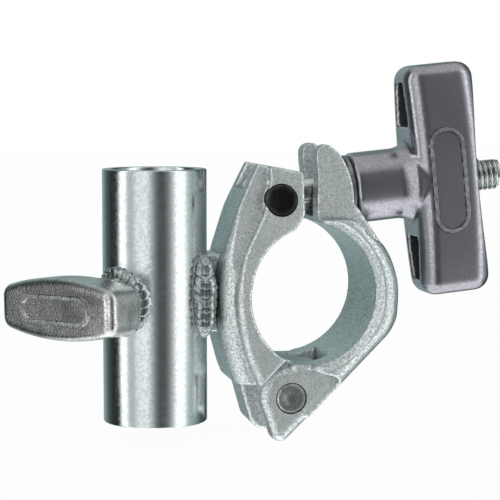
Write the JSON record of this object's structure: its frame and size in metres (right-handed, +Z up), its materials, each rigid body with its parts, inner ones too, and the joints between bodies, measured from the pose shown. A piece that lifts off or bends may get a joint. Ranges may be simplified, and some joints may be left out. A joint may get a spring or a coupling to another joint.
{
  "type": "pipe clamp with spigot socket",
  "caption": "Forged half coupler for scaffold-size pipe, welded to a spigot socket tube, closed by a swing bolt with a T-handle and with a T-knob locking screw.",
  "frame": {"origin": "centre of the round pipe seat, midway across the jaws", "axes": "+X from the socket tube towards the T-handle, +Y along the gripped pipe, +Z up along the socket tube"},
  "size_m": [0.1716, 0.0681, 0.1277],
  "materials": {
    "forged_zinc": "fine matte zinc plate over a drop forging",
    "tube_zinc": "bright zinc plate over drawn steel tube",
    "cast_aluminium": "tumbled die casting",
    "pin_steel": "dark oiled steel",
    "bolt_zinc": "bright zinc plate",
    "weld_metal": "rippled weld bead, zinc plated",
    "brass": "turned brass"
  },
  "bodies": {
    "frame": {"socket_tube": "tube_zinc", "saddle": "forged_zinc", "hinge_pin": "pin_steel", "bolt_pivot_pin": "pin_steel", "lock_boss": "bolt_zinc", "lock_boss_weld": "weld_metal", "saddle_weld_front": "weld_metal", "saddle_weld_back": "weld_metal"},
    "flap": {"flap": "forged_zinc"},
    "bolt": {"swing_bolt": "bolt_zinc"},
    "washer": {"clamp_washer": "bolt_zinc"},
    "handle": {"clamp_handle": "cast_aluminium", "handle_insert": "bolt_zinc"},
    "pad": {"thrust_pad": "brass"},
    "knob": {"lock_knob": "cast_aluminium", "lock_screw": "bolt_zinc"}
  },
  "joints": [
    {"name": "flap_open", "type": "hinge", "parent": "frame", "child": "flap", "pos_m": [-0.0097, 0, -0.0341], "axis": [0, 1, 0], "range_deg": [0, 24]},
    {"name": "bolt_swing", "type": "hinge", "parent": "frame", "child": "bolt", "pos_m": [-0.013, 0, 0.0323], "axis": [0, -1, 0], "range_deg": [0, 85]},
    {"name": "nut_travel", "type": "slide", "parent": "bolt", "child": "washer", "axis": [0.9949, 0, 0.1011], "range_m": [0, 0.028]},
    {"name": "handle_turn", "type": "hinge", "parent": "washer", "child": "handle", "pos_m": [-0.013, 0, 0.0323], "axis": [0.9949, 0, 0.1011], "range_deg": [0, 5760]},
    {"name": "pad_travel", "type": "slide", "parent": "frame", "child": "pad", "axis": [-0.7986, -0.6018, 0], "range_m": [0, 0.0105]},
    {"name": "lock_turn", "type": "hinge", "parent": "pad", "child": "knob", "pos_m": [-0.0532, 0, -0.001], "axis": [-0.7986, -0.6018, 0], "range_deg": [0, 2520]}
  ],
  "couplings": [
    {"joint": "nut_travel", "follows": "handle_turn", "m_per_rad": 0.00027852},
    {"joint": "flap_open", "follows": "handle_turn", "ratio": 0.0041666},
    {"joint": "pad_travel", "follows": "lock_turn", "m_per_rad": 0.00023873}
  ]
}
